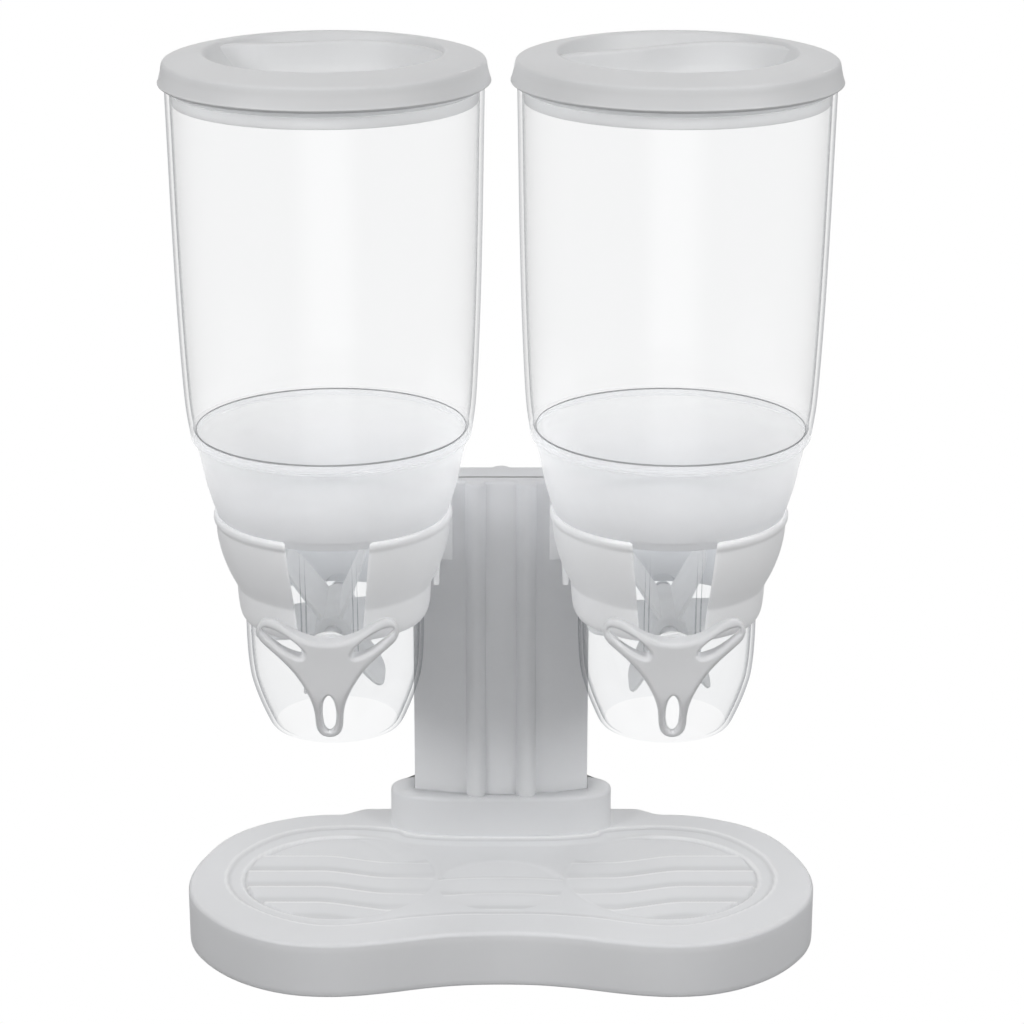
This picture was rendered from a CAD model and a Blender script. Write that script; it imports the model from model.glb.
# Twin cereal dispenser: two clear canisters with lids, held by rings on a column that stands
# on a wide base; below each hangs a cup with a paddle wheel turned by a knob.
# +Z is up, -Y the front (knobs), +Y the back (column); the canisters stand at -X and +X.
# Lengths in the helpers are millimetres; vertices are written in metres.
import bpy
import bmesh
import math
import numpy as np
from mathutils import Vector, Matrix


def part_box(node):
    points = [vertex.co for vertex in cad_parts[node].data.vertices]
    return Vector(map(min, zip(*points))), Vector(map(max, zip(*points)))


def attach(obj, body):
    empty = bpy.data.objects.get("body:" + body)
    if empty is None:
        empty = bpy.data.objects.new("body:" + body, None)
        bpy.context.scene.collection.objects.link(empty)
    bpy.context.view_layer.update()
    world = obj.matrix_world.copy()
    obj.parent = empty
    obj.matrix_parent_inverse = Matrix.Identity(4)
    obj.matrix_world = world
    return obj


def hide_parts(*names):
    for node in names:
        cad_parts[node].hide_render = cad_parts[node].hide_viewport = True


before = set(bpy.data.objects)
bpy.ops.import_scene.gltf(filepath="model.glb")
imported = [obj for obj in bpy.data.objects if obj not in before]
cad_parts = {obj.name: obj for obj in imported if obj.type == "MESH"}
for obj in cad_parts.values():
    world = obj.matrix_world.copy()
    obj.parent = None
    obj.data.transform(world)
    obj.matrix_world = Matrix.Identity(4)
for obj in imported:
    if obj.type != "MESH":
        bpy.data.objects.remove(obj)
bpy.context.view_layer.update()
MM = 0.001
CANISTER_X = 73.0       # each canister's axis from the middle
AXLE_Z = 148.6          # height of the axles
AXLE_R = 4.0
DECK_Z = 25.3           # top of the base
BASE_FLOOR_Z = 19.4     # underside of the base's top wall
FOOT_SPOTS = [(x, y) for x in (-104, 104) for y in (-38, 33)]
COLUMN_SCREW_X = (-25, 25)
COLUMN_SCREW_Y = 58.5

# column plan: half width, and the Y of its front middle, front corners and back
COLUMN_HALF = 40.3
COLUMN_FRONT = 46.0
COLUMN_CORNER = 53.0
COLUMN_BACK = 69.4

# ------------------------------------------------------------------ mesh helpers


def add_object(name, verts, faces):
    mesh = bpy.data.meshes.new(name)
    points = [tuple(float(c) * MM for c in v) for v in verts]
    mesh.from_pydata(points, [], [tuple(f) for f in faces])
    mesh.validate()
    mesh.update()
    piece = bpy.data.objects.new(name, mesh)
    bpy.context.scene.collection.objects.link(piece)
    shade_smooth(mesh)
    return piece


def shade_smooth(mesh):
    mesh.polygons.foreach_set("use_smooth", [True] * len(mesh.polygons))


def fix_normals(piece):
    edit = bmesh.new()
    edit.from_mesh(piece.data)
    bmesh.ops.remove_doubles(edit, verts=edit.verts, dist=1e-7)
    bmesh.ops.recalc_face_normals(edit, faces=edit.faces)
    edit.to_mesh(piece.data)
    edit.free()
    piece.data.update()
    return piece


def sharpen(piece, degrees):
    """Smooth shading with hard edges above an angle."""
    edit = bmesh.new()
    edit.from_mesh(piece.data)
    limit = math.radians(degrees)
    for edge in edit.edges:
        edge.smooth = not (len(edge.link_faces) == 2 and edge.calc_face_angle(0.0) > limit)
    for face in edit.faces:
        face.smooth = True
    edit.to_mesh(piece.data)
    edit.free()
    return piece


def join(pieces, name):
    bpy.ops.object.select_all(action="DESELECT")
    for piece in pieces:
        piece.select_set(True)
    bpy.context.view_layer.objects.active = pieces[0]
    bpy.ops.object.join()
    joined = bpy.context.view_layer.objects.active
    joined.name = name
    joined.data.name = name
    return joined


def apply_modifiers(piece):
    graph = bpy.context.evaluated_depsgraph_get()
    mesh = bpy.data.meshes.new_from_object(piece.evaluated_get(graph))
    piece.modifiers.clear()
    old = piece.data
    piece.data = mesh
    bpy.data.meshes.remove(old)


def boolean(piece, tool, operation):
    """Cuts or adds the tool, which is used up."""
    modifier = piece.modifiers.new("b", "BOOLEAN")
    modifier.operation = operation
    modifier.object = tool
    modifier.solver = "EXACT"
    apply_modifiers(piece)
    bpy.data.objects.remove(tool)
    return piece


def blend(t, start, end, t_start, t_end):
    span = t_end - t_start
    return (t_end - t) / span * start + (t - t_start) / span * end


def catmull(points, per):
    """Open centripetal Catmull-Rom path through 2-D points, with per steps in each span."""
    pts = np.array(points, float)
    pts = np.vstack([2 * pts[0] - pts[1], pts, 2 * pts[-1] - pts[-2]])
    curve = []
    for i in range(1, len(pts) - 2):
        near = pts[i - 1:i + 3]
        knots = [0.0]
        for m in range(3):
            knots.append(knots[m] + max(np.linalg.norm(near[m + 1] - near[m]), 1e-9) ** 0.5)
        for k in range(per):
            t = knots[1] + (knots[2] - knots[1]) * k / per
            row = [blend(t, near[m], near[m + 1], knots[m], knots[m + 1]) for m in range(3)]
            row = [blend(t, row[m], row[m + 1], knots[m], knots[m + 2]) for m in range(2)]
            curve.append(blend(t, row[0], row[1], knots[1], knots[2]))
    curve.append(pts[-2])
    return [tuple(point) for point in curve]


def catmull_closed(points, per):
    wrapped = [points[-2], points[-1]] + list(points) + [points[0], points[1]]
    return catmull(wrapped, per)[2 * per:(2 + len(points)) * per]


def rounded(corners, steps):
    """Closed polyline from corners (x, y, radius), with an arc where the radius is not 0."""
    out = []
    for i, (x, y, radius) in enumerate(corners):
        if radius <= 0:
            out.append((x, y))
            continue
        corner = np.array((x, y), float)
        before = np.array(corners[i - 1][:2], float) - corner
        after = np.array(corners[(i + 1) % len(corners)][:2], float) - corner
        len_before, len_after = np.linalg.norm(before), np.linalg.norm(after)
        before, after = before / len_before, after / len_after
        half = math.acos(before @ after) / 2
        cut = min(radius / math.tan(half), len_before * 0.48, len_after * 0.48)
        fitted = cut * math.tan(half)
        middle = (before + after) / np.linalg.norm(before + after)
        center = corner + middle * (fitted / math.sin(half))
        start, end = corner + before * cut - center, corner + after * cut - center
        first = math.atan2(start[1], start[0])
        sweep = (math.atan2(end[1], end[0]) - first + math.pi) % (2 * math.pi) - math.pi
        for k in range(steps + 1):
            angle = first + sweep * k / steps
            out.append((center[0] + fitted * math.cos(angle),
                        center[1] + fitted * math.sin(angle)))
    return out


def lathe(name, profile, seg, mid_x=0.0, mid_y=0.0, closed=True):
    """Turns a (radius, height) profile about a vertical axis."""
    verts, rings = [], []
    for radius, z in profile:
        if abs(radius) < 1e-6:
            rings.append([len(verts)])
            verts.append((mid_x, mid_y, z))
        else:
            rings.append(list(range(len(verts), len(verts) + seg)))
            for i in range(seg):
                a = 2 * math.pi * i / seg
                verts.append((mid_x + radius * math.cos(a), mid_y + radius * math.sin(a), z))
    faces = []
    for low, high in list(zip(rings, rings[1:])) + ([(rings[-1], rings[0])] if closed else []):
        if len(low) == 1 and len(high) == 1:
            continue
        for i in range(seg):
            j = (i + 1) % seg
            if len(low) == 1:
                faces.append((low[0], high[j], high[i]))
            elif len(high) == 1:
                faces.append((low[i], low[j], high[0]))
            else:
                faces.append((low[i], low[j], high[j], high[i]))
    return fix_normals(add_object(name, verts, faces))


def loft(name, loops, cap_step=-1):
    """Closed loops with equal point counts, joined in order and capped at both ends.
    cap_step is the direction in which the first cap's corners are listed."""
    n = len(loops[0])
    verts = [point for loop in loops for point in loop]
    faces = []
    for k in range(len(loops) - 1):
        for i in range(n):
            j = (i + 1) % n
            faces.append((k * n + i, k * n + j, (k + 1) * n + j, (k + 1) * n + i))
    faces.append(tuple(range(n))[::cap_step])
    faces.append(tuple((len(loops) - 1) * n + i for i in range(n))[::-cap_step])
    return fix_normals(add_object(name, verts, faces))


def inward(points, dist):
    """Closed anticlockwise loop moved inwards along its normals."""
    pts = np.array(points, float)
    along = np.roll(pts, -1, 0) - np.roll(pts, 1, 0)
    along /= np.linalg.norm(along, axis=1)[:, None]
    return np.c_[pts[:, 0] - along[:, 1] * dist, pts[:, 1] + along[:, 0] * dist]


def at_height(points, z):
    return [(x, y, z) for x, y in points]


def rounded_top(plan, top_z, radius, steps, first=0):
    """Loops that roll a vertical wall over into a flat top."""
    loops = []
    for k in range(first, steps + 1):
        a = math.radians(90 * k / steps)
        loops.append(at_height(inward(plan, radius * (1 - math.cos(a))),
                               top_z - radius * (1 - math.sin(a))))
    return loops


def mirrored(half):
    """Adds the mirror image in X to an open half outline that starts and ends near X = 0."""
    return half + [(-x, y) for x, y in reversed(half) if abs(x) > 1e-6]


def mesh_points(piece):
    """Vertex positions in millimetres, one row each."""
    flat = np.empty(len(piece.data.vertices) * 3)
    piece.data.vertices.foreach_get("co", flat)
    return flat.reshape(-1, 3) / MM


def lay_along_y(piece, x=0.0, y=0.0, degrees=90):
    """Lays a vertical piece along Y at axle height: its top to the front, or to the back
    for -90 degrees."""
    spot = Matrix.Translation((x * MM, y * MM, AXLE_Z * MM))
    piece.data.transform(spot @ Matrix.Rotation(math.radians(degrees), 4, "X"))
    piece.data.update()
    return piece


def rotor_place(x, y=0.0):
    """Matrix that stands a flat rotor piece up: local Y goes up, local Z to the front."""
    return Matrix(((1, 0, 0, x * MM), (0, 0, -1, y * MM), (0, 1, 0, AXLE_Z * MM), (0, 0, 0, 1)))


def finish_piece(piece, material, body, node):
    piece.data.materials.clear()
    piece.data.materials.append(material)
    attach(piece, body)
    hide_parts(node)
    return piece


def second_material(piece, material, covers):
    """Gives a second material to faces whose centre (metres) passes the test."""
    piece.data.materials.append(material)
    for face in piece.data.polygons:
        if covers(face.center):
            face.material_index = 1


# ------------------------------------------------------------------ material helpers


class Tree:
    """Short calls to build a node tree; an input takes a value or another node's output."""

    def __init__(self, owner, output):
        self.owner = owner
        owner.use_nodes = True
        self.tree = owner.node_tree
        self.tree.nodes.clear()
        self.output = self.tree.nodes.new("ShaderNode" + output)

    def node(self, kind, inputs=(), **props):
        """Adds a node and returns its outputs."""
        node = self.tree.nodes.new("ShaderNode" + kind)
        for key, value in props.items():
            setattr(node, key, value)
        for key, value in dict(inputs).items():
            if isinstance(value, bpy.types.NodeSocket):
                self.tree.links.new(value, node.inputs[key])
            else:
                node.inputs[key].default_value = value
        return node.outputs

    def noise(self, scale, detail=2.0, rough=0.5, stretch=None):
        place = self.coords
        if stretch:
            place = self.node("Mapping", {"Scale": stretch, "Vector": place})["Vector"]
        return self.node("TexNoise", {"Scale": scale, "Detail": detail, "Roughness": rough,
                                      "Vector": place})["Fac"]

    def ramp(self, value, over=(0.0, 1.0), to=(0.0, 1.0), smooth=False):
        """Maps the range over to the range to, clamped."""
        return self.node("MapRange", {"From Min": over[0], "From Max": over[1],
                                      "To Min": to[0], "To Max": to[1], "Value": value},
                         interpolation_type="SMOOTHSTEP" if smooth else "LINEAR")["Result"]

    def math(self, operation, first, second=0.0):
        return self.node("Math", {0: first, 1: second}, operation=operation)[0]

    def mix(self, factor, first, second):
        return self.node("Mix", {0: factor, 6: first, 7: second}, data_type="RGBA")[2]

    def mix_shader(self, factor, first, second):
        return self.node("MixShader", {0: factor, 1: first, 2: second})[0]

    def bump(self, height, strength, distance, normal=None):
        inputs = {"Strength": strength, "Distance": distance, "Height": height}
        if normal is not None:
            inputs["Normal"] = normal
        return self.node("Bump", inputs)["Normal"]

    def surface(self, shader):
        self.tree.links.new(shader, self.output.inputs["Surface"])
        return self.owner


def new_material(name):
    mat = Tree(bpy.data.materials.new(name), "OutputMaterial")
    mat.coords = mat.node("TexCoord")["Object"]
    return mat


def shade(color, factor=1.0):
    return tuple(c * factor for c in color) + (1.0,)


INNER_GLOW = (0.98, 0.985, 0.99, 1)     # tint of light carried inside the plastics


def moulded(name, color, rough, grain, sss=0.0, wear=0.35, glow=0.0):
    """Moulded thermoplastic: fine spark-eroded grain, slow flow variation, polished
    and paler edges, faint handling marks in the gloss."""
    mat = new_material(name)
    pale = tuple(min(1.0, c * 1.13 + 0.01) for c in color) + (1.0,)
    slow = mat.noise(scale=22.0, detail=3.0)
    flow = mat.noise(scale=9.0, stretch=(1.0, 1.0, 0.25))
    col = mat.mix(mat.ramp(slow, over=(0.3, 0.7)), shade(color, 0.968), shade(color))
    col = mat.mix(mat.ramp(flow, over=(0.35, 0.75), to=(0.0, 0.35)), col, pale)
    # outward edges, broken up by noise
    edge = mat.ramp(mat.node("NewGeometry")["Pointiness"], over=(0.52, 0.60))
    patchy = mat.ramp(mat.noise(scale=160.0, detail=3.0), over=(0.35, 0.65), to=(0.2, 1.0))
    worn = mat.math("MULTIPLY", mat.math("MULTIPLY", edge, patchy), wear)
    col = mat.mix(worn, col, pale)
    # ridge and groove lines stored on the base mesh
    crest = mat.node("Attribute", attribute_name="crest")["Fac"]
    groove = mat.node("Attribute", attribute_name="groove")["Fac"]
    col = mat.mix(mat.math("MULTIPLY", crest, 0.85), col, (0.975, 0.98, 0.985, 1))
    col = mat.mix(mat.math("MULTIPLY", groove, 0.5), col, shade(color, 0.74))
    fine = mat.noise(scale=2600.0, rough=0.6)
    mottle = mat.math("SUBTRACT", mat.noise(scale=420.0), 0.5)
    marks = mat.ramp(mat.noise(scale=60.0, detail=4.0, rough=0.65), over=(0.45, 0.8))
    gloss = mat.math("ADD", rough, mat.math("MULTIPLY", mottle, 0.10))
    gloss = mat.math("SUBTRACT", gloss, mat.math("MULTIPLY", marks, 0.06))
    gloss = mat.math("SUBTRACT", gloss, mat.math("MULTIPLY", worn, 0.12))
    normal = mat.bump(fine, strength=grain, distance=0.00012)
    normal = mat.bump(flow, strength=0.05, distance=0.0006, normal=normal)
    return mat.surface(mat.node("BsdfPrincipled", {
        "Base Color": col, "Roughness": gloss, "Normal": normal, "IOR": 1.48,
        "Subsurface Weight": sss, "Subsurface Radius": (1.0, 1.0, 1.0),
        "Subsurface Scale": 0.0016, "Emission Color": INNER_GLOW, "Emission Strength": glow,
        "Coat Roughness": 0.25})[0])


def thin_clear(name, tint, rim_at, rim_tone, shine, haze, stretch=0.2):
    """Thin clear styrene wall: straight view through, grey only where it is seen edge on."""
    mat = new_material(name)
    wave = mat.noise(scale=34.0, stretch=(1.0, 1.0, stretch))
    scuff = mat.ramp(mat.noise(scale=210.0, detail=5.0, rough=0.7), over=(0.55, 0.75))
    facing = mat.node("LayerWeight", {"Blend": 0.5})["Facing"]
    edge = mat.ramp(facing, over=rim_at)
    clear = mat.node("BsdfTransparent", {"Color": mat.mix(edge, shade(tint), shade(rim_tone))})[0]
    gloss = mat.node("BsdfGlossy", {
        "Color": (1, 1, 1, 1),
        "Roughness": mat.math("ADD", 0.02, mat.math("MULTIPLY", scuff, 0.08)),
        "Normal": mat.bump(wave, strength=0.22, distance=0.0005)})[0]
    # reflection grows steeply towards grazing view
    graze = mat.math("MULTIPLY", mat.math("POWER", facing, 5.0), 0.9)
    reflect = mat.math("ADD", 0.04, graze)
    milk = mat.node("BsdfTranslucent", {"Color": (0.97, 0.972, 0.975, 1)})[0]
    milkiness = mat.math("ADD", haze, mat.math("MULTIPLY", scuff, 0.6 * haze))
    wall = mat.mix_shader(milkiness, clear, milk)
    # shadow and diffuse rays meet no reflection
    path = mat.node("LightPath")
    skip = mat.math("MAXIMUM", path["Is Shadow Ray"], path["Is Diffuse Ray"])
    keep = mat.math("SUBTRACT", 1.0, skip)
    amount = mat.math("MULTIPLY", mat.math("MULTIPLY", reflect, shine), keep)
    return mat.surface(mat.mix_shader(amount, wall, gloss))


def frosted(name, z_low, z_high):
    """Milky funnel: light passes through, denser and greyer towards its narrow end.
    The heights are metres."""
    mat = new_material(name)
    z = mat.node("SeparateXYZ", {0: mat.coords})["Z"]
    height = mat.ramp(z, over=(z_low, z_high))
    cloud = mat.math("SUBTRACT", mat.noise(scale=40.0, detail=3.0), 0.5)
    cloudy = mat.math("ADD", height, mat.math("MULTIPLY", cloud, 0.10))
    col = mat.mix(cloudy, (0.80, 0.805, 0.815, 1), (0.97, 0.972, 0.975, 1))
    fine = mat.noise(scale=3200.0, rough=0.6)
    body = mat.node("BsdfPrincipled", {
        "Base Color": col, "Roughness": 0.40, "IOR": 1.5,
        "Normal": mat.bump(fine, strength=0.10, distance=0.0001),
        "Emission Color": INNER_GLOW,
        "Emission Strength": mat.ramp(height, to=(0.045 / 0.55, 0.25 / 0.45))})[0]
    through = mat.node("BsdfTranslucent", {"Color": col})[0]
    milky = mat.mix_shader(mat.ramp(height, to=(0.42, 0.55)), body, through)
    clear = mat.node("BsdfTransparent", {"Color": (0.985, 0.987, 0.99, 1)})[0]
    wall = mat.mix_shader(mat.ramp(cloudy, to=(0.10, 0.80)), milky, clear)
    # its shadow is mostly let through
    shadow = mat.node("BsdfTransparent", {"Color": (0.80, 0.80, 0.81, 1)})[0]
    is_shadow = mat.node("LightPath")["Is Shadow Ray"]
    return mat.surface(mat.mix_shader(mat.math("MULTIPLY", is_shadow, 0.75), wall, shadow))


def silicone(name, color, through, glow, rough=0.5):
    """Soft translucent rubber with a fine matt bloom."""
    mat = new_material(name)
    cloud = mat.noise(scale=120.0, detail=3.0)
    col = mat.mix(mat.ramp(cloud, over=(0.3, 0.7)), shade(color, 0.95), shade(color))
    fine = mat.noise(scale=1800.0, detail=3.0, rough=0.6)
    body = mat.node("BsdfPrincipled", {
        "Base Color": col, "IOR": 1.42, "Sheen Weight": 0.15,
        "Roughness": mat.ramp(cloud, over=(0.2, 0.8), to=(rough - 0.06, rough + 0.08)),
        "Emission Color": INNER_GLOW, "Emission Strength": glow,
        "Normal": mat.bump(fine, strength=0.18, distance=0.00015)})[0]
    light = mat.node("BsdfTranslucent", {"Color": col})[0]
    return mat.surface(mat.mix_shader(through, body, light))


def rubber(name, color):
    """Gritty dark rubber."""
    mat = new_material(name)
    grit = mat.noise(scale=900.0, detail=4.0, rough=0.7)
    cloud = mat.noise(scale=90.0, detail=3.0)
    return mat.surface(mat.node("BsdfPrincipled", {
        "Base Color": mat.mix(mat.ramp(cloud, over=(0.3, 0.7)), shade(color, 0.85), shade(color)),
        "Roughness": mat.ramp(grit, over=(0.2, 0.8), to=(0.62, 0.85)),
        "Normal": mat.bump(grit, strength=0.5, distance=0.0003)})[0])


def zinc(name):
    """Brushed, slightly spotted zinc plate."""
    mat = new_material(name)
    brush = mat.noise(scale=900.0, detail=3.0, stretch=(1.0, 1.0, 0.15))
    spot = mat.ramp(mat.noise(scale=300.0, detail=4.0), over=(0.3, 0.75))
    return mat.surface(mat.node("BsdfPrincipled", {
        "Metallic": 1.0,
        "Base Color": mat.mix(spot, (0.50, 0.51, 0.53, 1), (0.72, 0.73, 0.74, 1)),
        "Roughness": mat.ramp(brush, over=(0.2, 0.8), to=(0.24, 0.42)),
        "Normal": mat.bump(brush, strength=0.12, distance=0.0001)})[0])


M_BASE = moulded("base_plastic", (0.805, 0.812, 0.824), rough=0.40, grain=0.05)
M_COLUMN = moulded("column_plastic", (0.862, 0.868, 0.88), rough=0.44, grain=0.07)
M_HOLDER = moulded("holder_plastic", (0.875, 0.882, 0.892), rough=0.40, grain=0.05, glow=0.065)
M_LID = moulded("lid_plastic", (0.715, 0.72, 0.727), rough=0.42, grain=0.05, wear=1.0)
M_PLUG = moulded("lid_plug_plastic", (0.82, 0.825, 0.83), rough=0.42, grain=0.05, glow=0.14)
M_KNOB = moulded("knob_plastic", (0.765, 0.77, 0.78), rough=0.36, grain=0.04, sss=0.15, glow=0.01)
M_BEARING = moulded("bearing_plastic", (0.82, 0.825, 0.83), rough=0.34, grain=0.04)
M_CLEAR = thin_clear("clear_styrene", tint=(0.991, 0.992, 0.993), rim_at=(0.80, 0.965),
                     rim_tone=(0.50, 0.51, 0.53), shine=0.45, haze=0.004, stretch=0.12)
M_CUP = thin_clear("clear_cup_styrene", tint=(0.982, 0.984, 0.986), rim_at=(0.70, 0.955),
                   rim_tone=(0.54, 0.55, 0.57), shine=0.38, haze=0.008)
M_FROST = frosted("frosted_funnel", z_low=0.196, z_high=0.237)
M_RIM = moulded("funnel_rim_edge", (0.40, 0.405, 0.415), rough=0.30, grain=0.03)
M_SOFT = silicone("soft_silicone", (0.86, 0.865, 0.87), through=0.42, glow=0.15)
M_SEAL = silicone("seal_silicone", (0.84, 0.845, 0.85), through=0.45, glow=0.25, rough=0.42)
M_FOOT = rubber("grip_rubber", (0.33, 0.335, 0.34))
M_ZINC = zinc("zinc_plate")

# ------------------------------------------------------------------ base
# (x, y) of the base's edge and of the shallow recess in its top
OUTLINE = mirrored([
    (0, -63.0), (16, -63.7), (32, -66.4), (48, -70.6), (62, -73.6), (75, -74.7), (90, -73.1),
    (105, -67.2), (119, -57.0), (130, -43.8), (137.5, -29.5), (140.6, -14.4), (140.2, 1.0),
    (136.2, 17.6), (127.2, 38.6), (113.6, 52.8), (95.3, 62.0), (83.5, 64.5), (74.6, 65.1),
    (70.3, 67.8), (65.4, 70.9), (57.0, 71.5), (26, 71.5), (0, 71.5)])
RECESS = mirrored([
    (0, -43.6), (18, -43.9), (33.8, -46.0), (44.4, -48.2), (57.4, -52.3), (74.8, -55.2),
    (88.1, -52.2), (101.8, -44.2), (113.6, -33.0), (121.0, -20.0), (124.0, -6.0), (123.0, 8.0),
    (118.6, 21.0), (107.7, 36.5), (94.3, 46.0), (73.3, 50.1), (56.7, 48.4), (47.3, 45.5),
    (44.0, 41.5), (30, 38.2), (0, 37.0)])
# (inset from the edge, z) from the underside down the inner wall and up the outer one
BASE_WALL = [(3.4, BASE_FLOOR_Z), (2.65, 18.6), (2.5, 13.0), (2.5, 7.0), (2.5, 1.0), (2.2, 0.1),
             (1.8, 0.0), (0.9, 0.0), (0.35, 0.15), (0.08, 0.8), (0.0, 3.0), (0.0, 7.0),
             (0.0, 12.0), (0.0, 17.0), (0.0, 20.5)]
BASE_EDGE_R = 2.0

WELL_R = 43.6           # round waved well below each canister
WELL_Y = -1.0
WELL_WAVE_Y = 20.4      # its rearmost crest, and the spacing and height of its waves
WELL_WAVE_STEP = 16.3
WELL_WAVE_H = 2.35
OVAL_X, OVAL_Y = 29.5, 27.0     # half sizes of the waved oval in the middle of the base
OVAL_MID_Y = -10.0
OVAL_WAVE_STEP = 16.2


def loop_distance(points, at_x, at_y):
    """Signed distance to a closed polygon, positive inside."""
    start = np.array(points, float)
    end = np.roll(start, -1, 0)
    side = end - start
    length2 = (side ** 2).sum(1)
    start_x, start_y, side_x, side_y = start[:, 0], start[:, 1], side[:, 0], side[:, 1]
    out = np.empty(len(at_x))
    for s in range(0, len(at_x), 4000):
        x, y = at_x[s:s + 4000, None], at_y[s:s + 4000, None]
        t = np.clip(((x - start_x) * side_x + (y - start_y) * side_y) / length2, 0, 1)
        dist = np.sqrt((x - start_x - t * side_x) ** 2 + (y - start_y - t * side_y) ** 2).min(1)
        spans = (start_y > y) != (end[:, 1] > y)
        with np.errstate(divide="ignore", invalid="ignore"):
            cross_x = start_x + (y - start_y) / side_y * side_x
        inside = (np.logical_and(spans, x < cross_x).sum(1) % 2) == 1
        out[s:s + 4000] = np.where(inside, dist, -dist)
    return out


def step(value, low, high):
    """Smooth step from 0 at low to 1 at high."""
    t = np.clip((value - low) / (high - low), 0, 1)
    return t * t * (3 - 2 * t)


def line(offset, solid, gone):
    """Soft line: 1 up to solid from its middle, 0 from gone on."""
    return 1 - step(np.abs(offset), solid, gone)


def saw(phase, sharp=0.10):
    """Rolling wave: crest at phase 0, falling gently, rising fast just before phase 1."""
    t = phase - np.floor(phase)
    fall = 1 - t ** 1.7
    rise = step(t, 1 - sharp, 1.0)
    return np.where(t > 1 - sharp, np.maximum(fall, 0) * (1 - rise) + rise, fall)


def well_field(x, y, side):
    """Distance towards the middle of the base, radius and wave phase in one well."""
    to_mid = (x - side * CANISTER_X) * -side
    drop = 7.4 * step(to_mid, -10.0, 24.0)
    phase = (WELL_WAVE_Y - drop - y) / WELL_WAVE_STEP
    return to_mid, np.hypot(to_mid, y - WELL_Y), phase


def oval_field(x, y):
    """Relative radius in the middle oval, and Y of its arched rearmost crest."""
    reach = np.hypot(x / OVAL_X, (y - OVAL_MID_Y) / OVAL_Y)
    return reach, -3.0 - 2.6 * (x / OVAL_X) ** 2


def deck_height(x, y, recess):
    """Z of the base's top; recess is the distance inside the recess outline."""
    z = np.full(len(x), DECK_Z)
    z -= 0.95 * step(recess, -0.1, 0.8)
    z -= 1.05 * step(recess, 0.8, 6.4)
    for side in (-1, 1):
        to_mid, radius, phase = well_field(x, y, side)
        depth_in = WELL_R - radius
        soft = step(to_mid, 0.0, 32.0)      # the well's edge softens towards the middle
        inside = step(depth_in, -0.6 - 2.0 * soft, 0.6 + 13.0 * soft)
        behind = WELL_WAVE_H * np.clip(1 - (-phase) * 4.0, 0, 1) ** 1.5 * (radius < 44)
        behind = behind + 0.9 * step(-phase, 0.3, 1.4)
        wave = np.where(phase < 0, behind, saw(phase) * WELL_WAVE_H)
        z = z * (1 - inside) + inside * (21.55 + wave * step(depth_in, 0.2, 1.3))
    reach, crest_y = oval_field(x, y)
    soft = step(-(y - OVAL_MID_Y), -8.0, 16.0)
    inside = step(1 - reach, 0.0, 0.10 + 0.45 * soft) * (np.abs(x) < 33)
    wave = saw((crest_y - y) / OVAL_WAVE_STEP, 0.14) * 1.7
    wave = np.where(y > crest_y + 1.6, step(y, -3.0, 19.0) * 1.2, wave)
    return z * (1 - inside) + inside * (22.0 + wave)


def crest_mask(x, y, recess):
    """Ridge lines (light) and groove lines (a trace of shade) of the deck."""
    light = np.zeros(len(x))
    dark = np.zeros(len(x))
    for side in (-1, 1):
        to_mid, radius, phase = well_field(x, y, side)
        off = (phase - np.round(phase)) * WELL_WAVE_STEP
        live = (radius < 42.9) * (phase > -0.3)
        fade = 1 - 0.6 * step(to_mid, 12.0, 36.0)
        light = np.maximum(light, line(off + 0.2, 0.7, 2.1) * live * fade)
        dark = np.maximum(dark, line(off + 3.9, 0.9, 4.2) * live * fade)
        # the well's edge, only on its outer side
        ringed = 1 - step(to_mid, -4.0, 22.0)
        light = np.maximum(light, 0.75 * line(radius - 44.2, 0.4, 1.2) * ringed)
        dark = np.maximum(dark, 0.7 * line(radius - 42.9, 0.2, 1.0) * ringed)
    reach, crest_y = oval_field(x, y)
    phase = (crest_y - y) / OVAL_WAVE_STEP
    off = (phase - np.round(phase)) * OVAL_WAVE_STEP
    live = (reach < 0.97) * (phase > -0.3)
    light = np.maximum(light, 0.6 * line(off, 0.5, 1.4) * live)
    dark = np.maximum(dark, 0.6 * line(off + 2.4, 0.8, 3.2) * live)
    light = np.maximum(light, 0.8 * line(recess + 0.4, 0.4, 1.2))
    dark = np.maximum(dark, 0.8 * line(recess - 1.1, 0.4, 1.4))
    return light, dark


def base_edge(count):
    """The outline resampled at even angles and lightly smoothed."""
    dense = catmull_closed(OUTLINE, 16)
    angle = np.unwrap([math.atan2(y, x) for x, y in dense])
    reach = np.hypot(*np.array(dense).T)
    even = angle[0] + np.linspace(0, 2 * math.pi, count, endpoint=False)
    three_turns = np.r_[angle - 2 * math.pi, angle, angle + 2 * math.pi]
    radius = np.interp(even, three_turns, np.r_[reach, reach, reach])
    for _ in range(3):
        radius = (np.roll(radius, 1) + 2 * radius + np.roll(radius, -1)) / 4
    return np.c_[radius * np.cos(even), radius * np.sin(even)]


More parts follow.
